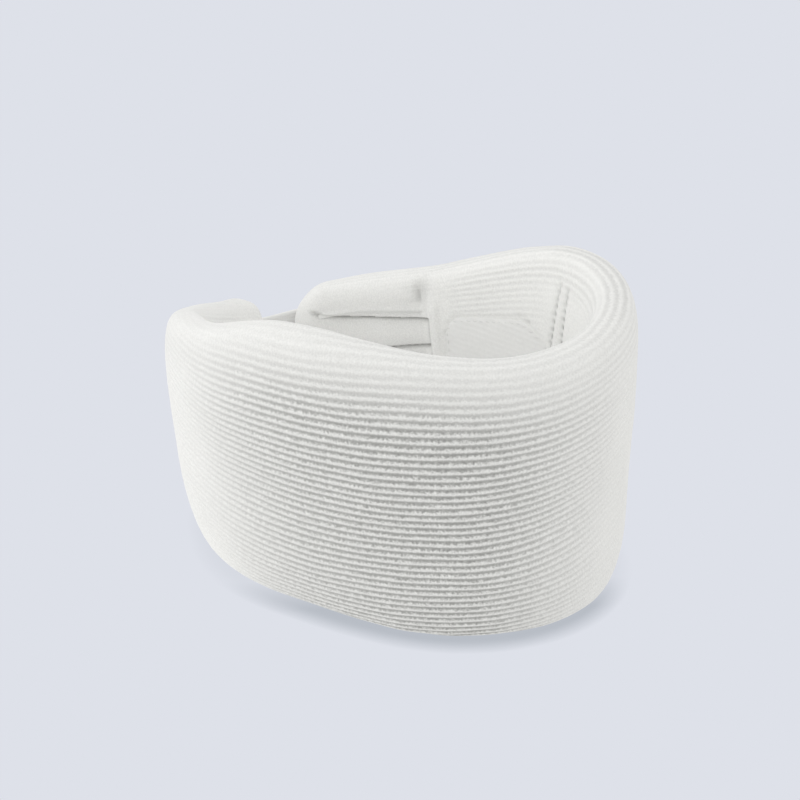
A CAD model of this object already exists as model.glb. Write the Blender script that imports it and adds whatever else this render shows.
"""A padded neck collar: a foam strip in a ribbed knit cover, closed by a hook-and-loop strap.

The strip stands on the floor (z = 0) and curls round the z axis. Its middle is at the front (-y),
the hook wing and the loop wing nearly meet at the back (+y). Geometry is worked out in millimetres
and stored in metres. "run" is the distance along the strip from its middle, negative towards the
hook wing; "inner" faces the neck, "outer" faces away from it.
"""
import math

import bmesh
import bpy
import numpy as np
from mathutils import Matrix, Vector


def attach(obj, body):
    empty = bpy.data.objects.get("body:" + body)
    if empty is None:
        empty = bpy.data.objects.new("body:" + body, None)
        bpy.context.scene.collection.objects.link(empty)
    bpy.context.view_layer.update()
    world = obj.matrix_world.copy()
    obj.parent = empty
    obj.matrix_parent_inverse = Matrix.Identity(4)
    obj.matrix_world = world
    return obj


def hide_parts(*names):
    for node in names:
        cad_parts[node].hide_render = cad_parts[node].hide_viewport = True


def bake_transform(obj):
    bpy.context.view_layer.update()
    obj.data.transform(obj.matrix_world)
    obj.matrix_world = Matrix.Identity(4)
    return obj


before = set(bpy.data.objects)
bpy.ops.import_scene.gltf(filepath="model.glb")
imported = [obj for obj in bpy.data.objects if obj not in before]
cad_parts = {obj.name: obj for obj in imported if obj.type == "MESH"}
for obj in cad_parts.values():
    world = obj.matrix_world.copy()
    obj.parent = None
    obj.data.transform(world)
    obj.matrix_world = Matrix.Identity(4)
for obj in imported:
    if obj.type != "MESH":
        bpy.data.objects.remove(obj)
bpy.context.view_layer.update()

# ==== The padded strip ===========================================================================
HALF_LENGTH = 190.46
WALL = 16.7                    # thickness
SQUARENESS = 3.2               # exponent of the superellipse section
CORNER_RADIUS = 12.6           # wing corners seen from the side
YAW = -13.0                    # heading of the strip at its middle, degrees
SHIFT = (2.49, -71.36, -0.5)   # place of the strip's middle

# Evenly spaced from the hook end to the loop end: curvature in 1/m, top and lower edge heights
EDGE_KNOTS = np.linspace(-1, 1, 11)
CURVATURE = np.array([22.289, 10.688, 17.045, 9.488, 10.631, 23.525,
                      25.068, 12.866, 8.308, 5.380, 8.674]) / 1000
TOP_EDGE = [66.7, 71.0, 90.3, 102.5, 103.0, 98.5, 102.0, 101.8, 88.5, 75.0, 61.4]
LOW_EDGE = [5.4, 3.0, 3.6, 1.9, 0.0, 0.0, 0.0, 5.5, 10.5, 3.0, 3.5]
LEAN_KNOTS = np.linspace(-1, 1, 5)
LEAN = [-4.03, 6.84, 9.10, -8.07, 2.47]                      # degrees
# Addition to the top edge on the hook side
TRIM_RUNS = [-195, *range(-180, -19, 10)]
TOP_TRIM = [0.5, 2.0, 3.8, 4.4, 3.9, 3.0, 1.9, 0.7, -1.2, -2.8, -2.4, -0.8, 0.3, 0.4, 0.2,
            0.0, 0.0, 0.0]

# ==== Knit and sewn-on parts =====================================================================
RIBS = 92                      # ribs round the tube
COLUMNS_PER_RIB = 10
RING = RIBS * COLUMNS_PER_RIB
LOOP_BEND = 131.6              # run of the bend between the loop side and the loop wing
# Slanted stitch lines inside the loop side: run at height 90, and change of run per mm of height
JOIN_LINES = ((68.5, -0.294), (63.5, -0.235))

STRAP_LOW, STRAP_TOP, STRAP_THICK = 18.5, 50.5, 1.4
STRAP_WIDTH = STRAP_TOP - STRAP_LOW
STRAP_BULGE = 0.25
ON_WING, LIFT = 0.2, 2.5       # gap below the strap on the hook wing and over the loop tape
TAPE_LOW, TAPE_TOP = 16.0, 53.0


# ==== Curves and small maths =====================================================================
def ease(x):
    x = np.clip(x, 0, 1)
    return x * x * (3 - 2 * x)


def bell(x, width):
    return np.exp(-(x / width) ** 2)


def unit(vectors):
    return vectors / np.maximum(np.linalg.norm(vectors, axis=-1, keepdims=True), 1e-9)


def path_length(points):
    """Distance along each row of points, from 0 at its first point."""
    steps = np.linalg.norm(np.diff(points, axis=-2), axis=-1)
    return np.concatenate([np.zeros_like(steps[..., :1]), np.cumsum(steps, -1)], -1)


def spline(knots, values, x):
    """Cubic spline through the knots with not-a-knot ends; values may have several columns."""
    knots, values = np.asarray(knots, float), np.asarray(values, float)
    count, step = len(knots), np.diff(knots)
    flat = values.ndim == 1
    rows = values[:, None] if flat else values
    slope = np.diff(rows, axis=0) / step[:, None]
    matrix, target = np.zeros((count, count)), np.zeros((count, rows.shape[1]))
    for i in range(1, count - 1):
        matrix[i, i - 1:i + 2] = step[i - 1], 2 * (step[i - 1] + step[i]), step[i]
        target[i] = 3 * (slope[i] - slope[i - 1])
    matrix[0, :3] = step[1], -(step[0] + step[1]), step[0]
    matrix[-1, -3:] = step[-1], -(step[-2] + step[-1]), step[-2]
    square = np.linalg.solve(matrix, target)
    cube = np.diff(square, axis=0) / (3 * step[:, None])
    linear = slope - step[:, None] * (2 * square[:-1] + square[1:]) / 3
    x = np.atleast_1d(np.asarray(x, float))
    i = np.clip(np.searchsorted(knots, x) - 1, 0, count - 2)
    past = (x - knots[i])[:, None]
    result = rows[i] + past * (linear[i] + past * (square[i] + past * cube[i]))
    return result[:, 0] if flat else result


class Noise:
    """Smooth seeded noise made of sine waves over two coordinates."""

    def __init__(self, seed, scale_a, scale_b, count=14, period=None):
        random = np.random.default_rng(seed)
        angle = random.uniform(0, 2 * np.pi, count)
        size = random.uniform(0.5, 1.6, count)
        self.wave_a = np.cos(angle) * size / scale_a
        self.wave_b = np.sin(angle) * size / scale_b
        if period:
            self.wave_b = np.round(self.wave_b * period) / period
        self.phase = random.uniform(0, 2 * np.pi, count)

    def __call__(self, a, b):
        total = 0
        for wave_a, wave_b, phase in zip(self.wave_a, self.wave_b, self.phase):
            total = total + np.sin(2 * np.pi * (a * wave_a + b * wave_b) + phase)
        return total / np.sqrt(len(self.phase) / 2)


# ==== Surface of the strip =======================================================================
LINE_RUN = np.linspace(-HALF_LENGTH - 4, HALF_LENGTH + 4, 4001)


def integrate(values, at_middle):
    """Integral of the values over LINE_RUN, equal to at_middle at the strip's middle."""
    total = np.cumsum((values[1:] + values[:-1]) / 2 * np.diff(LINE_RUN))
    total = np.concatenate([[0], total])
    return total - total[len(LINE_RUN) // 2] + at_middle


LINE_HEADING = integrate(spline(EDGE_KNOTS, CURVATURE, np.clip(LINE_RUN / HALF_LENGTH, -1, 1)),
                         np.radians(YAW))
LINE_X = integrate(np.cos(LINE_HEADING), SHIFT[0])
LINE_Y = integrate(np.sin(LINE_HEADING), SHIFT[1])


def end_arc(run, end, radius):
    """1 along the strip, falling to 0 at the end as a quarter circle."""
    depth = np.clip((abs(run) - (end - radius)) / radius, 0, 1)
    return np.sqrt(np.maximum(1 - depth * depth, 0))


def stations(run, inset=0.0):
    """x, y, heading, middle height, half height, half thickness and lean of the wall."""
    run = np.atleast_1d(np.asarray(run, float))
    x, y, heading = (np.interp(run, LINE_RUN, line) for line in (LINE_X, LINE_Y, LINE_HEADING))
    part = np.clip(run / HALF_LENGTH, -1, 1)
    top = spline(EDGE_KNOTS, TOP_EDGE, part) - inset
    low = spline(EDGE_KNOTS, LOW_EDGE, part) + inset
    trim = spline(TRIM_RUNS, TOP_TRIM, np.minimum(run, TRIM_RUNS[-1]))
    top = top + np.where(run < -30.0, trim, 0.0)
    lean = np.radians(spline(LEAN_KNOTS, LEAN, part))
    end = HALF_LENGTH - inset
    drop = (1 - end_arc(run, end, CORNER_RADIUS)) * CORNER_RADIUS
    top, low = top - drop, low + drop
    half = WALL / 2 - inset
    half = half * np.maximum(end_arc(run, end, half), 0.06)
    return x, y, heading, (top + low) / 2 + SHIFT[2], (top - low) / 2, half, lean


def signed_power(value, power):
    return np.sign(value) * np.abs(value) ** power


def section(run, psi, inset=0.0, out=0.0):
    """Points of the wall's surface; angle psi is 0 on the outer face and pi/2 on the top edge."""
    run = np.asarray(run, float)
    x, y, heading, middle, half_height, half, lean = (
        value.reshape(run.shape) for value in stations(run.ravel(), inset))
    across = half * signed_power(np.cos(psi), 2 / SQUARENESS)
    rise = half_height * signed_power(np.sin(psi), 2 / SQUARENESS)
    offset = across * np.cos(lean) + rise * np.sin(lean) + out
    return np.stack([x + np.sin(heading) * offset, y - np.cos(heading) * offset,
                     rise * np.cos(lean) - across * np.sin(lean) + middle], -1)


def face(run, z, out=0.0, inside=False):
    """Points of the outer (or inner) face at height z, moved away from the wall by out."""
    run, z, out = np.broadcast_arrays(np.asarray(run, float), np.asarray(z, float),
                                      np.asarray(out, float))
    low = np.full(run.shape, 3 * np.pi / 2 if inside else -np.pi / 2)
    high = np.full(run.shape, np.pi / 2)
    for _ in range(40):
        middle = (low + high) / 2
        below = section(run, middle)[..., 2] < z
        low, high = np.where(below, middle, low), np.where(below, high, middle)
    return section(run, (low + high) / 2, 0.0, -out if inside else out)


def surface_axes(run, z, out=0.0, inside=False):
    """Unit vectors along the strip, up the face and normal to it."""
    reach = 0.4
    along = face(run + reach, z, out, inside) - face(run - reach, z, out, inside)
    up = face(run, z + reach, out, inside) - face(run, z - reach, out, inside)
    return unit(along), unit(up), unit(np.cross(along, up))


# ==== Mesh helpers ===============================================================================
def link_object(name, mesh, material):
    mesh.materials.append(material)
    item = bpy.data.objects.new(name, mesh)
    bpy.context.scene.collection.objects.link(item)
    return item


def make(name, verts, faces, material, uv=None):
    """Smooth object from vertices in millimetres, with an optional UV per vertex."""
    mesh = bpy.data.meshes.new(name)
    verts = np.asarray(verts, float) / 1000.0
    faces = [tuple(int(i) for i in corners) for corners in faces]
    mesh.from_pydata([tuple(point) for point in verts], [], faces)
    mesh.update()
    mesh.validate(clean_customdata=False)
    if uv is not None:
        layer = mesh.uv_layers.new(name="UVMap")
        index = np.zeros(len(mesh.loops), np.int32)
        mesh.loops.foreach_get("vertex_index", index)
        layer.data.foreach_set("uv", np.asarray(uv, np.float32)[index].ravel())
    work = bmesh.new()
    work.from_mesh(mesh)
    bmesh.ops.recalc_face_normals(work, faces=work.faces)
    work.to_mesh(mesh)
    work.free()
    mesh.polygons.foreach_set("use_smooth", np.ones(len(mesh.polygons), bool))
    return link_object(name, mesh, material)


def quads(rows, columns):
    """Faces of a grid of vertices whose columns wrap round."""
    i = np.arange(rows - 1)[:, None] * columns
    j = np.arange(columns)[None]
    k = (j + 1) % columns
    corners = np.broadcast_arrays(i + j, i + k, i + columns + k, i + columns + j)
    return np.stack(corners, -1).reshape(-1, 4)


def merge(parts):
    """Join (vertices, faces) pairs into one."""
    verts, faces, count = [], [], 0
    for part_verts, part_faces in parts:
        verts.append(part_verts)
        faces += [tuple(i + count for i in corners) for corners in part_faces]
        count += len(part_verts)
    return np.concatenate(verts), faces


def fan_tube(rings, start_tip, end_tip):
    """Tube through the rings, each end closed by triangles that meet in a tip."""
    rows, columns, _ = rings.shape
    last, tip = (rows - 1) * columns, rows * columns
    faces = list(quads(rows, columns))
    for j in range(columns):
        k = (j + 1) % columns
        faces += [(tip, k, j), (tip + 1, last + j, last + k)]
    return np.concatenate([rings.reshape(-1, 3), [start_tip], [end_tip]]), faces


def close_tube(name, rings, uv, material, extra=()):
    """Flat tube whose ends are closed by strips between its two faces; extra parts are added."""
    rows, columns, _ = rings.shape
    faces = list(quads(rows, columns))
    for base, order in ((0, -1), ((rows - 1) * columns, 1)):
        for j in range(columns // 2 - 1):
            corners = (base + j, base + j + 1, base + columns - 2 - j, base + columns - 1 - j)
            faces.append(corners[::order])
    verts, faces = merge([(rings.reshape(-1, 3), faces), *extra])
    uv = uv.reshape(-1, 2)
    uv = np.pad(uv, ((0, len(verts) - len(uv)), (0, 0)))
    return make(name, verts, faces, material, uv=uv)


def grid_normals(points):
    """Unit normals of a grid (rows, columns, 3) whose columns wrap."""
    return unit(np.cross(np.gradient(points, axis=0),
                         np.roll(points, -1, 1) - np.roll(points, 1, 1)))


def rounded_sheet(centres, normals, ups, width, thick, edge, bulge, columns):
    """Rings and UVs of a flat tape with rounded edges, swept along the centres."""
    spread = np.sin(np.linspace(-1, 1, columns) * np.pi / 2)
    spread = np.concatenate([spread, spread[::-1]])
    side = np.repeat([1.0, -1.0], columns)
    half = np.broadcast_to(width, len(centres))[:, None] / 2
    x = spread * half
    rounding = 1 - np.clip(1 - (half - np.abs(x)) / edge, 0, 1) ** 2
    y = side * (thick / 2 * np.sqrt(np.clip(rounding, 0.02, 1))) + bulge * (1 - (x / half) ** 2)
    rings = centres[:, None] + ups[:, None] * x[..., None] + normals[:, None] * y[..., None]
    lengths = np.broadcast_to(path_length(centres)[:, None], x.shape)
    return rings, np.stack([lengths, x], -1)


def register(item, slot, *nodes):
    """Tell the frame which pieces the object stands for and its material slot."""
    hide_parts(*nodes)


# ==== Shader helpers =============================================================================
class Value:
    """A shader output; arithmetic on it adds Math nodes."""

    def __init__(self, tree, socket):
        self.tree, self.socket = tree, socket

    def __add__(self, other):
        return calc("ADD", self, other)

    def __radd__(self, other):
        return calc("ADD", other, self)

    def __sub__(self, other):
        return calc("SUBTRACT", self, other)

    def __rsub__(self, other):
        return calc("SUBTRACT", other, self)

    def __mul__(self, other):
        return calc("MULTIPLY", self, other)

    def clamped(self):
        """Clamp the Math node behind this value to 0..1."""
        self.socket.node.use_clamp = True
        return self


def set_inputs(tree, node, inputs):
    for key, item in inputs.items():
        if isinstance(item, Value):
            tree.links.new(item.socket, node.inputs[key])
        else:
            node.inputs[key].default_value = item


def value(tree, kind, output=0, inputs={}, **settings):
    """Add a shader node and return one of its outputs."""
    node = tree.nodes.new("ShaderNode" + kind)
    for key, setting in settings.items():
        setattr(node, key, setting)
    set_inputs(tree, node, inputs)
    return Value(tree, node.outputs[output])


def calc(operation, *terms):
    tree = next(term.tree for term in terms if isinstance(term, Value))
    return value(tree, "Math", inputs=dict(enumerate(terms)), operation=operation)


def mix(factor, first, second):
    return value(factor.tree, "Mix", output=2, inputs={0: factor, 6: first, 7: second},
                 data_type="RGBA")


def components(vector):
    """x, y and z of a vector value."""
    first = value(vector.tree, "SeparateXYZ", inputs={0: vector})
    return [Value(vector.tree, socket) for socket in first.socket.node.outputs]


def attribute(tree, name, output="Fac"):
    return value(tree, "Attribute", output, attribute_name=name)


def object_noise(tree, scale, detail, roughness):
    place = value(tree, "TexCoord", "Object")
    return value(tree, "TexNoise", "Fac", inputs={
        "Vector": place, "Scale": scale, "Detail": detail, "Roughness": roughness})


def bump(height, strength):
    return value(height.tree, "Bump", inputs={
        "Strength": strength, "Distance": 0.001, "Height": height})


def new_material(name):
    material = bpy.data.materials.new(name)
    material.use_nodes = True
    material.node_tree.nodes.clear()
    return material, material.node_tree


def set_surface(tree, shader, inputs):
    surface = value(tree, shader, inputs=inputs)
    output = tree.nodes.new("ShaderNodeOutputMaterial")
    tree.links.new(surface.socket, output.inputs["Surface"])


# ==== Materials ==================================================================================
WHITE = (0.86, 0.86, 0.845, 1.0)
GROOVE = (0.33, 0.33, 0.32, 1.0)
STITCH_LENGTH = 0.95           # length of one knit loop


def knit_material():
    """Ribbed stockinette; UV is (run in mm, rib number), attribute 'rib' is 1 on full ribs."""
    material, tree = new_material("rib_knit_cotton")
    run, rib_number, _ = components(value(tree, "UVMap", uv_map="UVMap"))
    fibre = object_noise(tree, scale=1050.0, detail=3.0, roughness=0.7)
    cloud = object_noise(tree, scale=60.0, detail=2.0, roughness=0.5)
    speck = object_noise(tree, scale=1700.0, detail=2.0, roughness=0.6)

    # fibres wander over the grooves
    wandering = rib_number + (fibre - 0.5) * 0.80
    ridge = calc("POWER", calc("ABSOLUTE", calc("SINE", wandering * math.pi)), 2.5)
    # knit loops: two slanted legs in each rib
    leg = calc("ABSOLUTE", calc("FRACT", rib_number) - 0.5)
    phase = (run + cloud * 6.0) * (2 * math.pi / STITCH_LENGTH) + leg * (2 * math.pi * 1.1)
    loop = (calc("SINE", phase) + 1.0) * 0.5
    dark = (1.0 - ridge) * attribute(tree, "rib")
    dark = (dark * (0.35 + fibre * 1.1)).clamped()
    # fuzz hides the grooves where the cloth is seen edge on, except on the top edge
    facing = value(tree, "LayerWeight", "Facing", inputs={
        "Blend": 0.5, "Normal": attribute(tree, "plain_normal", "Vector")})
    # inputs: value, then its range 0.12..0.68 mapped to 0..1
    grazing = value(tree, "MapRange", interpolation_type="SMOOTHSTEP",
                    inputs={0: facing, 1: 0.12, 2: 0.68, 3: 0.0, 4: 1.0})
    grazing = grazing * (1.0 - attribute(tree, "crown") * 0.9)
    dark = (dark * (1.0 - grazing * 0.97)).clamped()

    # the side against the neck is a little paler
    pale = (*(channel + 0.07 for channel in WHITE[:3]), 1.0)
    color = mix(attribute(tree, "lining"), WHITE, pale)
    color = mix(dark, color, GROOVE)
    color = mix((1.0 - loop) * 0.03, color, GROOVE)
    mottling = (cloud - 0.5) * 0.05 + (speck - 0.5) * 0.30
    color = value(tree, "HueSaturation", inputs={"Color": color, "Value": 1.0 + mottling})
    cavity = (*(channel * 0.62 for channel in GROOVE[:3]), 1.0)
    color = mix(attribute(tree, "cav"), color, cavity)
    height = loop * 0.035 + fibre * 0.20 + speck * 0.06
    set_surface(tree, "BsdfPrincipled", {
        "Base Color": color, "Normal": bump(height, strength=0.7), "Roughness": 0.92,
        "Sheen Weight": 0.35, "Sheen Roughness": 0.5, "Specular IOR Level": 0.2})
    return material


def cloth_material(name, color, scale, strength, roughness, sheen, depth=0.12, stripes=()):
    """Fine cloth. scale and depth shape its grain, strength its bump.

    Each stripe is (UV axis, pitch in mm, height).
    """
    material, tree = new_material(name)
    grain = object_noise(tree, scale=scale, detail=4.0, roughness=0.65)
    cloud = object_noise(tree, scale=60.0, detail=2.0, roughness=0.5)
    shade = (0.97 + cloud * 0.06) * (0.94 + grain * 0.12)
    shaded = value(tree, "HueSaturation", inputs={"Color": (*color, 1.0), "Value": shade})
    height = grain * depth
    if stripes:
        axes = components(value(tree, "UVMap", uv_map="UVMap"))
        for axis, pitch, amount in stripes:
            height = height + calc("SINE", axes[axis] * (2 * math.pi / pitch)) * amount
    set_surface(tree, "BsdfPrincipled", {
        "Base Color": shaded, "Normal": bump(height, strength), "Roughness": roughness,
        "Sheen Weight": sheen, "Specular IOR Level": 0.25})
    return material


KNIT = knit_material()
JERSEY = cloth_material("smooth_jersey", (0.83, 0.83, 0.82), scale=900.0, strength=0.5,
                        roughness=0.85, sheen=0.2, stripes=[(1, 2.1, 0.10)])
FOAM = cloth_material("open_cell_foam", (0.84, 0.80, 0.68), scale=700.0, strength=1.0,
                      roughness=0.95, sheen=0.0, depth=0.5)
STRAP = cloth_material("strap_tape", (0.88, 0.88, 0.87), scale=1500.0, strength=0.5,
                       roughness=0.75, sheen=0.3, depth=0.06,
                       stripes=[(1, 1.05, 0.05), (0, 0.7, 0.03)])
HOOK = cloth_material("hook_nylon", (0.76, 0.77, 0.78), scale=1200.0, strength=0.3,
                      roughness=0.45, sheen=0.0, depth=0.05)
LOOP = cloth_material("brushed_loop_nylon", (0.78, 0.78, 0.78), scale=1100.0, strength=1.0,
                      roughness=0.9, sheen=0.5, depth=0.35)
THREAD = cloth_material("white_thread", (0.72, 0.72, 0.71), scale=2200.0, strength=0.7,
                        roughness=0.6, sheen=0.2, depth=0.15)
HEM = cloth_material("folded_knit_hem", (0.79, 0.79, 0.78), scale=900.0, strength=0.8,
                     roughness=0.9, sheen=0.3, stripes=[(1, 1.2, 0.08)])

# ==== Relief of the knit cover ===================================================================
BROAD_NOISE = Noise(3, 70.0, 60.0)
FINE_NOISE = Noise(5, 22.0, 26.0)
RIB_SHIFT_NOISE = Noise(11, 30.0, 4.0, 18, RIBS)
RIB_HEIGHT_NOISE = Noise(13, 12.0, 2.2, 18, RIBS)


def soft_relief(run, z):
    """Gentle unevenness of the padding, mm."""
    return 0.30 * BROAD_NOISE(run, z) + 0.05 * FINE_NOISE(run, z)


# Heights of the three sewn channels inside the loop wing, from the top down
def channel_1(run):
    return 56.7 + (180.0 - run) * 0.153


def channel_2(run):
    return 47.9 + (150.5 - run) * 0.24


def channel_3(run):
    return channel_2(run) - 12.0


def fold_line(run):
    """Height of the thin fold above the first channel."""
    return 56.2 + (178.5 - run) * 0.30 - np.maximum(0, 160.0 - run) * 0.12


def panel_top(run):
    """Top edge of the smooth panel inside the loop side."""
    z = 67.1 + (123.0 - run) * 0.24
    z = z - 7.0 * np.clip((run - 120.6) / 6.4, 0, 1) ** 2
    return np.where(run < 90.0, 75.0 - (90.0 - run) * 0.34, z)


class Relief:
    """Fields over the knit: push along the normal in mm; rib shade, rib height, darkness 0..1."""

    def __init__(self, run, z, inner, outer):
        self.run, self.z, self.inner, self.outer = run, z, inner, outer
        self.push = soft_relief(run, z)
        self.rib = 1.0 - 0.73 * inner
        self.height = 1.0 - 0.77 * inner
        self.dark = np.zeros_like(run)

    def flatten(self, amount, rib=1.0, height=1.0):
        self.rib = self.rib * (1 - rib * amount)
        self.height = self.height * (1 - height * amount)

    def darken(self, amount):
        self.dark = np.maximum(self.dark, amount)


def smooth_wings(knit):
    """Weaker ribs on the wing ends."""
    knit.flatten(ease((-158.0 - knit.run) / 14.0) * 0.75, height=0.8)
    loop_wing = ease((knit.run - 131.0) / 5.0) * (1.0 - knit.outer) * 0.42
    loop_wing = loop_wing + ease((knit.run - 174.0) / 10.0) * 0.5
    knit.flatten(np.clip(loop_wing, 0, 1), height=0.8)


def sew_channels(knit):
    """Smooth bands between deep lines inside the loop wing, with a thin fold above them."""
    run, z, inner = knit.run, knit.z, knit.inner
    first, second, third = channel_1(run), channel_2(run), channel_3(run)

    def dome(band):
        return np.maximum(0, 1 - (2 * band - 1) ** 2) ** 0.4

    zone = ease(run - LOOP_BEND) * ease((182.0 - run) / 5.0) * inner
    zone = zone * ease((first - z) / 0.9) * ease((z - 12.0) / 14.0)
    band_1 = np.clip((first - z) / np.maximum(first - second, 1.0), 0, 1)
    band_2 = np.clip((second - z) / (second - third), 0, 1)
    band_3 = np.clip((third - z) / 14.0, 0, 0.5)
    depth = np.where(z > second, 4.0 - 3.0 * dome(band_1),
                     np.where(z > third, 3.6 - 2.6 * dome(band_2), 3.4 - 2.4 * dome(band_3)))
    knit.push -= zone * depth
    knit.flatten(zone)
    knit.darken(zone * (0.60 * bell(z - first + 0.8, 1.1) + 0.45 * bell(z - second, 0.9)
                        + 0.45 * bell(z - third, 0.9)))
    # greyer towards the channels
    grey = inner * ease((run - 133.5) / 3.0) * ease((184.0 - run) / 9.0)
    knit.darken(grey * np.where(z > first, 0.14 * ease((first + 16.0 - z) / 16.0),
                                0.05 + 0.09 * np.abs(2 * band_1 - 1) ** 1.5))
    # thin fold, and the wedge of cloth between it and the first channel
    fold = fold_line(run)
    lip = inner * ease((run - 134) / 3) * ease((180 - run) / 4)
    knit.push += lip * (0.55 * bell(z - fold, 0.9)
                        - 0.75 * bell(z - (fold + first) / 2, 1.1) * ease((170 - run) / 12))
    knit.flatten(lip * ease((fold - z) / 1.0 + 0.5), rib=0.85, height=0.85)


def raise_bend_seam(knit):
    """Light standing seam at the bend between the loop side and the loop wing."""
    run, z, inner = knit.run, knit.z, knit.inner
    seam = inner * ease((run - 127.6) / 1.6) * ease((132.9 - run) / 1.3)
    below = ease((74.0 - z) / 7) * ease((z - 10) / 10)
    knit.push += 0.9 * seam * below
    bare = inner * ease((run - 122.5) / 2.0) * ease((74.0 - z) / 4)
    bare = bare + 0.75 * inner * bell(run - 127.5, 8.5) * ease((z - 64.0) / 5)
    knit.flatten(np.clip(bare, 0, 1))
    knit.darken(0.30 * inner * bell(run - 132.9, 0.7) * ease((channel_1(run) - z) / 2) * below)


def recess_panel(knit):
    """Recessed smooth panel inside the loop side."""
    run, z = knit.run, knit.z
    panel = ease((run - 75.0) / 2.4) * ease((128.4 - run) / 2.0) * knit.inner
    panel = panel * ease((panel_top(run) - z + 0.8) / 2.2) * ease((z - 21.0) / 2.4)
    knit.push -= 0.85 * panel
    knit.flatten(panel)


# Inner creases: run, run change per mm of height, height, half sizes along run and height, depth
CREASES = (
    (136.9, 0.16, 71.0, 1.25, 3.6, 1.2),
    (135.6, 0.0, 72.5, 3.4, 5.5, 0.8),
    (139.0, -0.5, 68.6, 3.0, 0.8, 0.5),
    (86.0, 0.0, 74.0, 1.4, 1.0, 0.8),
    (89.0, 0.0, 75.6, 2.0, 0.7, 0.4),
    (179.5, 0.0, 56.6, 2.2, 0.9, 1.6),
    (121.2, 0.0, 74.0, 0.7, 2.6, 0.35),
)


def pinch_creases(knit):
    """Pinched creases, and two soft swellings beside them."""
    run, z, inner = knit.run, knit.z, knit.inner
    for at_run, slant, at_z, half_run, half_z, depth in CREASES:
        crease = bell(run - at_run - (z - at_z) * slant, half_run) * bell(z - at_z, half_z)
        crease = crease * inner
        knit.push -= depth * crease
        knit.darken(min(0.30 * depth, 0.5) * crease)
    knit.push += inner * 0.6 * bell(run - 141.5, 4.5) * bell(z - 73.0, 6.0)
    knit.push += inner * 0.5 * bell(run - 129.5, 4.0) * bell(z - 75.0, 7.0)


def stitch_join(knit):
    """Double stitched join inside the loop side, slanting down from the rim."""
    run, z, inner = knit.run, knit.z, knit.inner
    strip = inner * ease((run - 48.0) / 4.0) * ease((79.0 - run) / 3.0) * ease((93.0 - z) / 6)
    knit.flatten(strip, rib=0.55, height=0.6)
    zone = inner * ease((z - 22) / 6) * ease((95.0 - z) / 4)
    dots = 0.5 + 0.5 * np.sin(2 * np.pi * z / 2.7)
    for at_run, slant in JOIN_LINES:
        aside = run - (at_run + slant * (z - 90.0))
        knit.push -= zone * (0.40 + 0.28 * dots) * bell(aside, 1.05)
        knit.flatten(zone * bell(aside, 1.5))
        knit.darken(zone * bell(aside, 0.9) * (0.12 + 0.28 * dots))
    between = run - (66.0 - 0.265 * (z - 90.0))
    knit.push += 0.30 * bell(between, 1.1) * zone


def knit_relief(run, z, inner, outer):
    knit = Relief(run, z, inner, outer)
    for feature in (smooth_wings, sew_channels, raise_bend_seam, recess_panel, pinch_creases,
                    stitch_join):
        feature(knit)
    # ribs weaken where the tube is gathered into its hems
    edge = ease((HALF_LENGTH - np.abs(run)) / 9.0)
    knit.rib = np.clip(knit.rib * edge, 0, 1)
    knit.height = np.clip(knit.height * edge, 0, 1)
    knit.dark = np.clip(knit.dark, 0, 1)
    return knit


# ==== Grid of the knit cover =====================================================================
# Drift of the ribs round the strip, in ribs. One row per run, each with the terms
# 1, cos a, sin a, cos 2a, sin 2a, cos 3a, sin 3a of the angle a round the section.
DRIFT_RUNS = np.linspace(-190, 190, 13)
DRIFT = np.array([
    [-3.819, -0.267, -0.266, 0.059, 0.074, -0.029, 0.007],
    [-1.783, -0.322, -0.594, -0.104, -0.183, -0.004, -0.033],
    [0.179, -0.264, -0.986, -0.218, -0.436, -0.028, -0.028],
    [2.582, 0.435, -0.979, -0.260, -0.291, -0.223, -0.002],
    [3.904, 1.026, -0.728, -0.054, 0.046, -0.242, 0.005],
    [2.985, 0.673, -0.854, 0.134, -0.045, -0.033, 0.094],
    [1.645, 0.165, -0.717, -0.309, -0.023, -0.114, 0.058],
    [0.031, -0.180, -0.512, -0.569, 0.177, -0.385, -0.080],
    [-0.774, -0.076, -0.282, -0.361, 0.087, -0.040, -0.088],
    [-1.255, 0.027, -0.136, -0.173, 0.110, -0.023, -0.053],
    [-1.279, 0.056, 0.049, -0.124, 0.048, 0.025, -0.076],
    [-1.247, 0.047, 0.081, -0.031, 0.013, 0.010, -0.019],
    [-1.168, 0.028, 0.091, 0.026, -0.013, 0.000, 0.008],
])


def rib_angles(runs):
    """psi of every column: the ribs lie evenly round the section but for their drift."""
    # closer samples at mid height and at the two edges, where the angle runs fastest
    near = np.linspace(0, 1, 50)[1:] ** 3 * 0.06
    near = np.concatenate([i * np.pi / 2 + side * near for i in range(5) for side in (-1, 1)])
    near = near[(near > 0) & (near < 2 * np.pi)]
    fine = np.unique(np.concatenate([np.linspace(0, 2 * np.pi, 1441), near]))
    lengths = path_length(section(np.repeat(runs[:, None], len(fine), 1), fine[None]))
    drift = spline(DRIFT_RUNS, DRIFT, np.clip(runs, -186, 186))
    turn = np.linspace(-0.5, 1.5, 2881)
    angle = 2 * np.pi * turn
    waves = np.stack([np.ones_like(angle)]
                     + [wave(i * angle) for i in (1, 2, 3) for wave in (np.cos, np.sin)])
    wanted = np.arange(RING) / COLUMNS_PER_RIB
    psi = np.zeros((len(runs), RING))
    for i in range(len(runs)):
        turns = np.interp(wanted, RIBS * turn + drift[i] @ waves, turn)
        whole = np.floor(turns)
        psi[i] = np.interp((turns - whole) * lengths[i, -1], lengths[i], fine)
        psi[i] += 2 * np.pi * whole
    return psi


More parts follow.
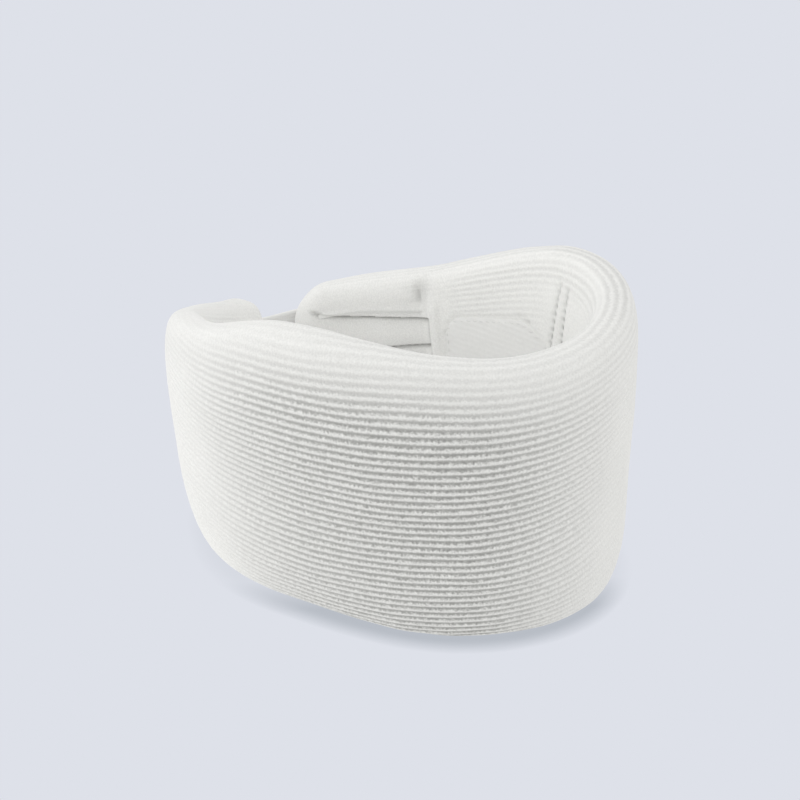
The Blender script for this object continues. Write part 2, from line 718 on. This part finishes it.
END_ZONE = 10.0                # rows close up over this length at each end
BODY_END = HALF_LENGTH - END_ZONE
body_runs = np.concatenate([
    np.linspace(-BODY_END, 60.0, 117), np.arange(61.2, 79.0, 1.2), np.arange(80.4, 125.5, 1.9),
    np.arange(126.2, 140.0, 0.7), np.linspace(141.4, BODY_END, 20)])
end_runs = BODY_END + END_ZONE * np.sin(np.radians(np.linspace(0, 86, 15)))[1:]
RUNS = np.concatenate([-end_runs[::-1], body_runs, end_runs])

PSI = rib_angles(RUNS)
RUN = np.repeat(RUNS[:, None], RING, 1)
RIB_NUMBER = np.repeat((np.arange(RING) / COLUMNS_PER_RIB)[None], len(RUNS), 0)
BASE = section(RUN, PSI)
BASE_Z = BASE[..., 2]
BASE_NORMAL = grid_normals(BASE)
heading = np.interp(RUN, LINE_RUN, LINE_HEADING)
PLAN_NORMAL = np.stack([np.sin(heading), -np.cos(heading), np.zeros_like(heading)], -1)
CROWN = ease((np.sin(PSI) - 0.50) / 0.40)
LINING = ease((-np.cos(PSI) + 0.10) / 0.45) * (
    0.35 + 0.65 * ease((-RUN - 90.0) / 30.0) - 0.35 * ease((RUN - 118.0) / 16.0))
INNER = ease((-np.cos(PSI) - 0.12) / 0.25)
OUTER = ease((np.cos(PSI) - 0.12) / 0.25)
RELIEF = knit_relief(RUN, BASE_Z, INNER, OUTER)


def rim_fade():
    """Share of the rib height left near the top rim, over a longer way on the outer face."""
    below_top = BASE_Z.max(1, keepdims=True) - BASE_Z
    front = ease((RUN - 8.0) / 30.0) * ease((84.0 - RUN) / 14.0)
    at_rim = 0.05 + 0.11 * ease((RUN + 80.0) / 40.0) + 0.17 * front
    down = np.where(OUTER > 0, ease((below_top - 2.0) / 23.0), ease((below_top - 1.0) / 6.0))
    return np.minimum(at_rim + (1 - at_rim) * down, 1.0)


def knit_points(fade):
    """Points of the ribbed surface."""
    ridge = 0.5 - 0.5 * np.cos(2 * np.pi * RIB_NUMBER)
    rib_height = 0.34 * fade * (1 + 0.10 * RIB_HEIGHT_NOISE(RUN, RIB_NUMBER))
    height = RELIEF.push + RELIEF.height * (ridge - 0.5) * rib_height
    points = BASE + BASE_NORMAL * height[..., None]
    # neighbouring ribs wander together, a little up and down
    around = unit(np.roll(BASE, -1, 1) - np.roll(BASE, 1, 1))
    shift = 0.030 * RIB_SHIFT_NOISE(RUN, RIB_NUMBER)
    points = points + around * (shift * 2.2)[..., None]
    # squeeze the lowest 1.2 mm so that the lower edge rests on the floor
    z = points[..., 2]
    squeeze = 1.15 / (1.2 - min(z.min(), 0.0))
    points[..., 2] = np.where(z < 1.2, 1.2 + (z - 1.2) * squeeze, z)
    return points


RIM_FADE = rim_fade()
RIB_SHADE = RELIEF.rib * RIM_FADE * (1 - 0.45 * OUTER * ease((RUN + 20.0) / 30.0))
OUTSIDE = knit_points(RIM_FADE)
OUTSIDE_NORMAL = grid_normals(OUTSIDE)
DENT = BASE_NORMAL * np.minimum(RELIEF.push, 0.0)[..., None]
INSIDE = section(RUN, PSI, 1.2) + DENT

# ==== Knit cover and foam core ===================================================================
# The strip in four lengths: the sections each one covers, the two parts it bends between,
# and the runs where the bend starts and ends
PIECES = {
    "hook_end": (["hook_end"], "hook_side", "hook_end", -104.0, -141.5),
    "hook_front": (["hook_side", "front"], "front", "hook_side", -38.0, -86.0),
    "loop_front": (["loop_side"], "front", "loop_side", 38.0, 86.0),
    "loop_end": (["loop_end"], "loop_side", "loop_end", 106.0, 152.0),
}
CUTS = [int(np.argmin(abs(RUNS - cut))) for cut in (-97.0, 0.0, 97.0)]
PIECE_ROWS = list(zip([0, *CUTS], [*CUTS, len(RUNS) - 1]))


def bend(item, piece):
    """Blend an object between the two parts of its piece, at a common height."""
    _, part, next_part, *runs = PIECES[piece]
    ends = [section(np.full(2, run), np.array([0.0, np.pi])).mean(0) for run in runs]
    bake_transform(item)


def ring_cap(base, row):
    """Close a flattened ring by pairing its two sides down from the top."""
    top = int(np.argmin(np.abs(PSI[row] - np.pi / 2)))
    i = np.arange(RING // 2)
    corners = [(top - i) % RING, (top - i - 1) % RING, (top + i + 1) % RING, (top + i) % RING]
    return np.stack(corners, -1) + base


def ring_band(outside, inside):
    """Faces between an outside ring and an inside ring."""
    j = np.arange(RING)
    k = (j + 1) % RING
    return np.stack([outside + j, outside + k, inside + k, inside + j], -1)


def cover_faces(rows, skin, open_start, open_end):
    """Quads and triangles of a shell between outer rows and inner skin rows."""
    base = len(rows) * RING
    last, last_skin = base - RING, base + (len(skin) - 1) * RING
    walls = [quads(len(rows), RING)[:, ::-1], quads(len(skin), RING) + base]
    ends = [ring_band(0, base)] if open_start else [
        ring_cap(0, rows[0])[:, ::-1], ring_cap(base, skin[0])]
    ends += [ring_band(last, last_skin)[:, ::-1]] if open_end else [
        ring_cap(last, rows[-1]), ring_cap(last_skin, skin[-1])[:, ::-1]]
    ends = np.concatenate(ends)
    # the first and last face of a cap repeat a corner and become triangles
    full = np.array([len(set(corners)) == 4 for corners in ends])
    triangles = [tuple(dict.fromkeys(int(i) for i in corners)) for corners in ends[~full]]
    return np.concatenate([*walls, ends[full]]), triangles


def cover_mesh(name, first, last):
    """Shell of the knit between two rows, with an inner skin; wing ends are closed."""
    rows = np.arange(first, last + 1)
    open_start, open_end = first > 0, last < len(RUNS) - 1
    skin = np.unique(np.concatenate([rows[:1], rows[::5], rows[-1:]]))
    if not open_start:
        skin = skin[skin >= 6]
    if not open_end:
        skin = skin[skin <= len(RUNS) - 7]
    quad, triangles = cover_faces(rows, skin, open_start, open_end)

    def both(outside, inside):
        joined = np.concatenate([outside[rows], inside[skin]])
        return joined.reshape(-1, *joined.shape[2:])

    none = np.zeros_like(RUN)
    fields = {"rib": both(RIB_SHADE, none), "cav": both(RELIEF.dark, none),
              "crown": both(CROWN, CROWN), "lining": both(LINING, LINING)}
    verts = both(OUTSIDE, INSIDE) / 1000
    loops = np.concatenate([quad.astype(np.int32).ravel(), np.asarray(triangles, np.int32).ravel()])
    quad_count, count = len(quad), len(quad) + len(triangles)
    starts = np.concatenate([np.arange(quad_count) * 4,
                             quad_count * 4 + np.arange(len(triangles)) * 3])
    mesh = bpy.data.meshes.new(name)
    mesh.vertices.add(len(verts))
    mesh.vertices.foreach_set("co", verts.astype(np.float32).ravel())
    mesh.loops.add(len(loops))
    mesh.loops.foreach_set("vertex_index", loops)
    mesh.polygons.add(count)
    mesh.polygons.foreach_set("loop_start", starts.astype(np.int32))
    mesh.update(calc_edges=True)

    layer = mesh.uv_layers.new(name="UVMap")
    uv = np.stack([both(RUN, RUN), both(RIB_NUMBER, RIB_NUMBER)], -1).astype(np.float32)[loops]
    # quads over the seam take rib numbers past the last rib
    rib = uv[:quad_count * 4].reshape(quad_count, 4, 2)[..., 1]
    split = (rib.max(1) - rib.min(1)) > RIBS / 2
    rib += np.where(split[:, None] & (rib < RIBS / 2), RIBS, 0)
    layer.data.foreach_set("uv", uv.ravel())
    for key, field in fields.items():
        layer = mesh.attributes.new(key, "FLOAT", "POINT")
        layer.data.foreach_set("value", field.astype(np.float32))
    plain = both(PLAN_NORMAL, PLAN_NORMAL).astype(np.float32)
    layer = mesh.attributes.new("plain_normal", "FLOAT_VECTOR", "POINT")
    layer.data.foreach_set("vector", plain.ravel())
    mesh.polygons.foreach_set("use_smooth", np.ones(count, bool))
    mesh.normals_split_custom_set_from_vertices(both(OUTSIDE_NORMAL, -BASE_NORMAL).tolist())
    return link_object(name, mesh, KNIT)


def foam_mesh(name, first, last):
    """Foam core inside one piece of the cover."""
    rows = np.unique(np.concatenate([np.arange(first, last + 1, 4), [last]]))
    rows = rows[(rows >= 8) & (rows <= len(RUNS) - 9)]
    columns = 120
    pick = np.ix_(rows, np.arange(columns) * (RING // columns))
    rings = section(RUN[pick], PSI[pick], 2.2) + DENT[pick]
    rings[..., 2] = np.maximum(rings[..., 2], 1.6)
    return make(name, *fan_tube(rings, rings[0].mean(0), rings[-1].mean(0)), FOAM)


for prefix, node, slot, build in (("knit_cover_", "cover_", "rib_knit", cover_mesh),
                                  ("foam_core_", "foam_", "foam", foam_mesh)):
    for piece, (first, last) in zip(PIECES, PIECE_ROWS):
        item = build(prefix + piece, first, last)
        bend(item, piece)
        register(item, slot, *(node + covered for covered in PIECES[piece][0]))


# ==== Stitches ===================================================================================
def stitch(point, along, normal, length, radius):
    """A thread that rises out of the cloth and dives back in."""
    side = unit(np.cross(normal, along))
    place = np.linspace(-1, 1, 7)
    arch = 0.30 * (1 - place ** 2) - 0.10
    centres = point + np.outer(place * length / 2, along) + np.outer(arch, normal)
    radii = radius * np.clip(1.15 - place ** 6 * 0.75, 0.2, 1)
    turn = np.linspace(0, 2 * np.pi, 8, endpoint=False)
    circle = np.outer(np.cos(turn), side) + np.outer(np.sin(turn), normal) * 0.8
    rings = centres[:, None] + radii[:, None, None] * circle
    tip = along * (length / 2 + radius * 0.5)
    foot = normal * arch[0]
    return fan_tube(rings, point - tip + foot, point + tip + foot)


def stitches(name, places, node, ride=None, piece=None, length=2.5, radius=0.26):
    """One object of stitches at (point, direction, normal); rides a part or bends with a piece."""
    item = make(name, *merge([stitch(*place, length, radius) for place in places]), THREAD)
    if piece:
        bend(item, piece)
    else:
        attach(item, ride)
    register(item, "thread", node)


# ==== Closure strap ==============================================================================
# Stations along the strap: run and gap to the outer face. The strap is sewn to the hook wing.
NEAR_STATIONS = [(-HALF_LENGTH + inward, ON_WING) for inward in (48, 42, 36, 30, 24, 18, 15, 12)]
NEAR_STATIONS += [(-HALF_LENGTH + 9.0, 0.3), (-HALF_LENGTH + 6.0, 0.7)]
FAR_STATIONS = [(HALF_LENGTH - 6.0, LIFT + 0.6), (HALF_LENGTH - 9.0, LIFT + 0.1)]
FAR_STATIONS += [(HALF_LENGTH - inward, LIFT) for inward in (13, 18, 24, 31, 38, 45, 52, 59, 66)]
STRAP_HEIGHTS = np.linspace(STRAP_LOW, STRAP_TOP, 9)
STRAP_HALF = STRAP_THICK / 2


def strap_controls():
    """Rows of points across the strap; one row bridges the gap between the wings."""
    near, far = ([face(np.full(len(STRAP_HEIGHTS), run), STRAP_HEIGHTS, gap + STRAP_HALF)
                  for run, gap in table] for table in (NEAR_STATIONS, FAR_STATIONS))
    gap = far[0][4] - near[-1][4]
    back = np.array([-gap[1], gap[0], 0]) / np.hypot(gap[0], gap[1])
    return np.array(near + [(near[-1] + far[0]) / 2 + back * 2.2] + far)


CONTROLS = strap_controls()
CONTROL_PATH = path_length(CONTROLS[:, 4])
# Path lengths: end of the sewn base, start of the hook pad, start and end of the finger tip
BASE_END, PAD_START, TIP_START, STRAP_END = CONTROL_PATH[[6, 14, 19, -1]]


def strap_rows(path):
    rows = spline(CONTROL_PATH, CONTROLS.reshape(len(CONTROLS), -1), path)
    return rows.reshape(len(path), len(STRAP_HEIGHTS), 3)


def strap_frame(path):
    """Centres, outward normals, up and along vectors of the strap at the path lengths."""
    rows = strap_rows(path)
    centres = rows[:, 4]
    up = unit(rows[:, -1] - rows[:, 0])
    along = unit(strap_rows(path + 0.5)[:, 4] - strap_rows(path - 0.5)[:, 4])
    normal = unit(np.cross(up, along))
    outward = np.sign((normal[:, :2] * centres[:, :2]).sum(1))
    return centres, normal * outward[:, None], up, along


def strap_point(path, z, lift=STRAP_HALF):
    """Point on the bulged strap at z from its middle, with its along, up and normal vectors."""
    centre, normal, up, along = (rows[0] for rows in strap_frame(np.array([float(path)])))
    bulge = STRAP_BULGE * (1 - (z / (STRAP_WIDTH / 2)) ** 2)
    return centre + up * z + normal * (lift + bulge), along, up, normal


def blend_on_strap(item, start, end):
    start, end = (Vector(strap_frame(np.array([path]))[0][0] / 1000) for path in (start, end))
    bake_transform(item)


def build_strap():
    centres, normals, ups, _ = strap_frame(np.linspace(0.0, TIP_START, 96))
    rings, uv = rounded_sheet(centres, normals, ups, width=STRAP_WIDTH, thick=STRAP_THICK,
                              edge=0.7, bulge=STRAP_BULGE, columns=40)
    strap = close_tube("closure_strap", rings, uv, STRAP)
    blend_on_strap(strap, BASE_END - 3.0, BASE_END + 7.0)
    register(strap, "strap_webbing", "strap_base", "strap_tab")


def build_strap_tip():
    """A second layer over the strap's end, with rounded corners."""
    path = TIP_START - 5.0 + np.linspace(0, 1, 34) * (STRAP_END - TIP_START + 5.0 - 0.5)
    centres, normals, ups, _ = strap_frame(path)
    corner = np.clip((path - (path[-1] - 7.0)) / 7.0, 0, 1)
    width = STRAP_WIDTH - 14.0 * (1 - np.sqrt(np.maximum(1 - corner ** 2, 0.0)))
    lift = 0.78 + 0.15 * ease((path - TIP_START) / 12.0)
    rings, uv = rounded_sheet(centres + normals * lift[:, None], normals, ups, width=width,
                              thick=1.35, edge=0.65, bulge=0.3, columns=36)
    tip = close_tube("strap_finger_tip", rings, uv, STRAP)
    blend_on_strap(tip, TIP_START - 0.5, TIP_START + 4.0)
    register(tip, "strap_webbing", "strap_tip")


def along_strap(path, z):
    point, along, _, normal = strap_point(path, z)
    return point, along, normal


def across_strap(path, z):
    point, _, up, normal = strap_point(path, z)
    return point, up, normal


def build_box_stitches():
    """Box with two diagonals on the sewn base."""
    start, end = 3.0, BASE_END - 3.5
    half = STRAP_WIDTH / 2
    places = [along_strap(path, z) for z in (-half + 3.0, half - 3.0)
              for path in np.arange(start, end, 3.1)]
    places += [across_strap(path, z) for path in (start - 0.8, end + 0.4)
               for z in np.arange(-half + 5.4, half - 4.0, 3.1)]
    for slant in (1, -1):
        for share in np.linspace(0.1, 0.9, 11):
            z = slant * (half - 5.0) * (2 * share - 1)
            point, along, up, normal = strap_point(start + (end - start) * share, z)
            diagonal = along * (end - start) + up * slant * (STRAP_WIDTH - 10.0)
            places.append((point, unit(diagonal), normal))
    stitches("strap_box_stitches", places, "strap_box_stitch", ride="hook_end")


# Centre line of a small hook: distance from the pad, and sideways
HOOK_PATH = [(0, 0), (0.28, 0.02), (0.46, 0.12), (0.48, 0.30), (0.38, 0.42)]
HOOK_PITCH = 1.55


def small_hook(root, side, up, normal):
    sides = 5
    turn = 2 * np.pi * np.arange(sides) / sides
    rings = []
    for i, (drop, aside) in enumerate(HOOK_PATH):
        centre = root - normal * drop + side * aside
        second = side if i < 2 else normal
        circle = np.outer(np.cos(turn), up) + np.outer(np.sin(turn), second)
        rings.append(centre + (0.14 - 0.02 * i) * circle)
    corners = range(sides * len(rings))
    faces = [*quads(len(rings), sides), corners[:sides][::-1], corners[-sides:]]
    return np.concatenate(rings), faces


def build_hook_pad():
    """Sheet with rows of small hooks, under the strap."""
    pad = np.linspace(PAD_START - 1.0, TIP_START - 2.0, 40)
    centres, normals, ups, _ = strap_frame(pad)
    rings, uv = rounded_sheet(centres - normals * (STRAP_HALF + 0.28), normals, ups,
                              width=STRAP_WIDTH - 4.0, thick=0.42, edge=0.3,
                              bulge=STRAP_BULGE, columns=24)
    hooks = []
    half = (STRAP_WIDTH - 7.0) / 2
    for path in np.arange(pad[0] + 1.4, pad[-1] - 1.0, HOOK_PITCH):
        # every other row is shifted and hooks the other way
        for i, z in enumerate(np.arange(-half, half, HOOK_PITCH)):
            shift, direction = (0.78, 1) if i % 2 else (0.0, -1)
            root, along, up, normal = strap_point(path + shift, z, -(STRAP_HALF + 0.46))
            hooks.append(small_hook(root, along * direction, up, normal))
    item = close_tube("hook_pad_sheet", rings, uv, HOOK, extra=hooks)
    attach(item, "strap")
    register(item, "hook_tape", "hook_pad")


def build_hook_pad_stitches():
    half = STRAP_WIDTH / 2
    places = [along_strap(path, z) for z in (-half + 3.2, half - 3.2)
              for path in np.arange(PAD_START - 0.2, TIP_START - 6.0, 3.0)]
    places += [across_strap(PAD_START - 1.6, z) for z in np.arange(-half + 6.0, half - 5.0, 3.0)]
    stitches("hook_pad_stitches", places, "hook_pad_stitch", ride="strap")


# ==== Parts on the loop side =====================================================================
def build_loop_tape():
    """Fuzzy landing tape on the outer face of the loop wing, with its two rows of stitches."""
    runs = np.linspace(LOOP_BEND + 0.4, HALF_LENGTH - 10.5, 52)
    middle, top, low = (face(runs, z, 0.75)
                        for z in ((TAPE_LOW + TAPE_TOP) / 2, TAPE_TOP, TAPE_LOW))
    ups = unit(top - low)
    normals = unit(np.cross(unit(np.gradient(middle, axis=0)), ups))
    centres = (top + low) / 2
    bulge = ((middle - centres) * normals).sum(1).mean()
    rings, uv = rounded_sheet(centres, normals, ups, width=TAPE_TOP - TAPE_LOW, thick=0.9,
                              edge=0.45, bulge=bulge, columns=60)
    outer_face = np.arange(rings.shape[1]) < rings.shape[1] // 2
    fuzz = 0.09 * Noise(31, 1.3, 1.3, 22)(uv[..., 0], uv[..., 1]) * outer_face
    rings = rings + normals[:, None] * fuzz[..., None]
    tape = close_tube("loop_landing_tape", rings, uv, LOOP)
    bend(tape, "loop_end")
    register(tape, "loop_tape", "loop_tape")

    places = []
    for z in (TAPE_LOW + 1.4, TAPE_TOP - 1.4):
        for run in np.arange(runs[0] + 1.8, runs[-1] - 1.0, 2.9):
            along, _, normal = surface_axes(run, z, 1.18)
            places.append((face(run, z, 1.22), along, normal))
    stitches("loop_tape_stitches", places, "loop_tape_stitch", piece="loop_end",
             length=2.2, radius=0.22)


def build_backing_patch():
    """Smooth patch inside the loop side, lying in its recess."""
    runs = np.linspace(76.4, 127.8, 76)
    top, low = (panel_top(runs) - 0.5)[:, None], 23.0
    share = np.sin(np.linspace(-1, 1, 46) * np.pi / 2) * 0.5 + 0.5
    z = low + (top - low) * share
    run = np.repeat(runs[:, None], len(share), 1)
    base = face(run, z, 0.0, inside=True)
    normal = unit(np.cross(np.gradient(base, axis=1), np.gradient(base, axis=0)))
    # towards the neck
    normal = normal * np.median(np.sign((-base[..., :2] * normal[..., :2]).sum(-1)))
    soft = soft_relief(run, z)
    edge = np.minimum(np.minimum(run - runs[0], runs[-1] - run), np.minimum(z - low, top - z))
    rounding = ease(edge / 2.2)
    height = -1.25 + 0.72 * rounding + 0.06 * Noise(41, 13.0, 9.0)(run, z) * rounding
    height = height + 0.05 * np.sin(2 * np.pi * z / 2.1)
    height = height + 0.25 * bell(run - 104, 22) * bell(z - 50, 18)
    shown = base + normal * (soft + height)[..., None]
    hidden = base + normal * (soft - 1.45)[..., None]
    uv = np.stack([run, z], -1)
    patch = close_tube("backing_patch_cloth", np.concatenate([shown, hidden[:, ::-1]], 1),
                       np.concatenate([uv, uv[:, ::-1]], 1), JERSEY)
    bend(patch, "loop_end")
    register(patch, "smooth_knit", "backing_patch")


def inner_point(run, z, lift):
    """Point over the inner face, with its along, up and neckward normal vectors."""
    point = face(run, z, 0.0, inside=True)
    along, up, normal = surface_axes(run, z, inside=True)
    normal = normal * np.sign((-point[:2] * normal[:2]).sum())
    return point + normal * (soft_relief(run, z) + lift), along, up, normal


def along_inner(run, z, lift):
    point, along, _, normal = inner_point(run, z, lift)
    return point, along, normal


def up_inner(run, z, lift):
    point, _, up, normal = inner_point(run, z, lift)
    return point, up, normal


def build_inner_stitches():
    """Stitches of the patch, of the slanted join and of the two upper channels."""
    places = [along_inner(run, panel_top(run) - 2.6, -0.62)
              for run in np.arange(82.5, 125.0, 3.0)]
    places += [up_inner(125.2, z, -0.62) for z in np.arange(26.0, 60.0, 3.0)]
    stitches("backing_patch_stitches", places, "backing_patch_stitch", piece="loop_end",
             length=2.0, radius=0.16)
    places = [up_inner(at_run + slant * (z - 90.0), z, -0.45) for at_run, slant in JOIN_LINES
              for z in (91.45 - 3.1 * i for i in range(9))]
    stitches("join_seam_stitches", places, "join_seam_stitch", piece="loop_front",
             length=1.9, radius=0.2)
    places = [along_inner(run, z, -3.4) for run in np.arange(136.0, 175.0, 3.0)
              for z in (channel_1(run) - 0.9, channel_2(run))]
    stitches("channel_stitches", places, "quilting_stitch", piece="loop_end",
             length=2.2, radius=0.2)


# ==== Wing hems ==================================================================================
def build_hem(wing, sign):
    """Upright roll of cloth at a wing end, with a row of stitches on each side."""
    end = sign * (HALF_LENGTH - 0.35)
    x, y, heading, middle, half_height = (float(item[0]) for item in stations(end)[:5])
    along = np.array([math.cos(heading), math.sin(heading), 0.0]) * sign
    across = np.array([math.sin(heading), -math.cos(heading), 0.0])
    height = half_height * 2 - 7.0
    share = np.linspace(-1, 1, 60)
    z = share * height / 2
    turn = np.linspace(0, 2 * np.pi, 20, endpoint=False)
    taper = np.sqrt(np.maximum(1 - abs(share) ** 5, 0.0))
    centres = np.stack([np.full(len(z), x), np.full(len(z), y), middle + z], -1)
    centres = centres + np.outer(0.25 * Noise(50 + sign, 9.0, 5.0)(z, 0.0), across) + along * 0.1
    half_along = 1.5 * taper + 0.05
    half_across = (0.85 + 0.12 * np.sin(share * height * 2.6)) * taper + 0.05
    offset_along = np.outer(half_along, np.cos(turn))
    offset_across = np.outer(half_across, np.sin(turn) * (1 + 0.15 * np.cos(2 * turn)))
    rings = (centres[:, None] + along * offset_along[..., None]
             + across * offset_across[..., None])
    uv = np.stack(np.broadcast_arrays(turn * 1.5, z[:, None]), -1).reshape(-1, 2)
    uv = np.pad(uv, ((0, 2), (0, 0)))
    verts, faces = fan_tube(rings, rings[0].mean(0), rings[-1].mean(0))
    item = make("wing_hem_" + wing, verts, faces, HEM, uv=uv)
    body = wing + "_end"
    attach(item, body)
    register(item, "hem_tape", "hem_" + body)

    places = []
    for side in (1, -1):
        for z in np.arange(-height / 2 + 3, height / 2 - 2, 3.1):
            point = np.array([x, y, middle + z]) + along * 0.75 + across * side * 0.8
            places.append((point, np.array([0, 0, 1.0]), across * side))
    stitches("wing_hem_stitches_" + wing, places, "hem_stitch_" + body, ride=body,
             length=2.0, radius=0.17)


build_strap()
build_strap_tip()
build_box_stitches()
build_hook_pad()
build_hook_pad_stitches()
build_loop_tape()
build_backing_patch()
build_inner_stitches()
build_hem("hook", -1)
build_hem("loop", 1)

# ==== Floor, world, camera and lights (metres) ===================================================
CAMERA_AZIMUTH = math.radians(-21.11 + YAW)
CAMERA_ELEVATION = math.radians(27.67)
CAMERA_ROLL = math.radians(-0.92)
CAMERA_DISTANCE = 0.50408
AIM = 0.0525                   # the camera aims this far behind the strip's middle and this high


def srgb_to_linear(color):
    color = np.array(color, float) / 255
    linear = np.where(color <= 0.04045, color / 12.92, ((color + 0.055) / 1.055) ** 2.4)
    return (*linear, 1.0)


BACKDROP = srgb_to_linear((222, 225, 233))


def floor_material():
    """Backdrop paper with a contact shadow, which is strongest in front of the collar."""
    material, tree = new_material("floor_paper")
    open_share = value(tree, "AmbientOcclusion", "AO", inputs={"Distance": 0.007}, samples=16)
    shadow = ((1.0 - open_share) * 1.7).clamped()
    x, y, _ = components(value(tree, "NewGeometry", "Position"))
    ahead = x * math.sin(CAMERA_AZIMUTH) + y * -math.cos(CAMERA_AZIMUTH)
    # 0 up to 24 mm ahead of the origin, 1 from 16 mm further on
    front = ((ahead - 0.024) * (1 / 0.016)).clamped()
    shadow = shadow * (0.22 + front * 0.78)
    shaded = tuple(BACKDROP[i] * share for i, share in enumerate((0.66, 0.68, 0.69))) + (1,)
    seen = mix(shadow, BACKDROP, shaded)
    bounced = mix(front, (0.90, 0.90, 0.89, 1), (0.73, 0.73, 0.72, 1))
    color = mix(value(tree, "LightPath", "Is Camera Ray"), bounced, seen)
    set_surface(tree, "Emission", {"Color": color, "Strength": 1.0})
    return material


def build_floor():
    mesh = bpy.data.meshes.new("floor")
    mesh.from_pydata([(-6, -6, 0), (6, -6, 0), (6, 6, 0), (-6, 6, 0)], [], [(0, 1, 2, 3)])
    link_object("floor", mesh, floor_material())


def build_world():
    """The backdrop colour as seen by the camera, neutral light otherwise."""
    world = bpy.data.worlds.new("studio")
    world.use_nodes = True
    tree = world.node_tree
    camera_ray = value(tree, "LightPath", "Is Camera Ray")
    color = mix(camera_ray, (0.75, 0.75, 0.743, 1), BACKDROP)
    set_inputs(tree, tree.nodes["Background"], {0: color, 1: 1.0})
    bpy.context.scene.world = world


def build_camera():
    """Add the camera; return its right vector and its vector back from the target."""
    yaw = math.radians(YAW)
    target = np.array([-AIM * math.sin(yaw), AIM * math.cos(yaw), AIM]) + np.array(SHIFT) / 1000
    back = np.array([math.sin(CAMERA_AZIMUTH) * math.cos(CAMERA_ELEVATION),
                     -math.cos(CAMERA_AZIMUTH) * math.cos(CAMERA_ELEVATION),
                     math.sin(CAMERA_ELEVATION)])
    level = np.array([math.cos(CAMERA_AZIMUTH), math.sin(CAMERA_AZIMUTH), 0.0])
    upright = np.cross(back, level)
    right = level * math.cos(CAMERA_ROLL) + upright * math.sin(CAMERA_ROLL)
    up = upright * math.cos(CAMERA_ROLL) - level * math.sin(CAMERA_ROLL)
    data = bpy.data.cameras.new("camera")
    data.sensor_width = 36.0
    data.lens = 72.8757
    data.shift_x = -0.074025
    data.shift_y = 0.0145
    data.clip_start = 0.01
    data.clip_end = 30
    camera = bpy.data.objects.new("camera", data)
    rows = np.column_stack([right, up, back, target + back * CAMERA_DISTANCE])
    camera.matrix_world = Matrix([*rows.tolist(), (0, 0, 0, 1)])
    bpy.context.scene.collection.objects.link(camera)
    bpy.context.scene.camera = camera
    return Vector(right), back


# Soft boxes: name, offsets to the camera's right and towards the camera, height, size, watts,
# colour
SOFT_BOXES = (
    ("top", 0.0, 0.10, 1.1, 1.1, 1.05, (1.0, 1.0, 0.99)),
    ("left", -1.0, 0.10, 0.40, 0.8, 2.9, (1, 1, 1)),
    ("right", 1.0, 0.0, 0.40, 0.8, 0.8, (1, 1, 1)),
    ("front", 0.0, 1.3, 0.7, 0.8, 2.4, (1, 1, 1)),
)


def build_lights(right, back):
    target = Vector((0.0, 0.0, 0.05))
    toward_camera = Vector((back[0], back[1], 0)).normalized()
    for name, aside, ahead, height, size, power, color in SOFT_BOXES:
        light = bpy.data.lights.new(name, "AREA")
        light.energy = power
        light.color = color
        light.shape = "RECTANGLE"
        light.size = size
        light.size_y = size
        item = bpy.data.objects.new(name, light)
        item.location = right * aside + Vector((0, 0, height)) + toward_camera * ahead
        item.rotation_euler = (target - item.location).to_track_quat("-Z", "Y").to_euler()
        bpy.context.scene.collection.objects.link(item)


view = bpy.context.scene.view_settings
view.view_transform = "Standard"
view.look = "None"
view.exposure = 0.0
view.gamma = 1.0
build_floor()
build_world()
build_lights(*build_camera())


def plain(bounds):
    """Bounds as lists of floats, whether they come as a dict or as a sequence."""
    if isinstance(bounds, dict):
        return {key: [float(x) for x in corner] for key, corner in bounds.items()}
    return [[float(x) for x in corner] for corner in bounds]


bpy.context.view_layer.update()
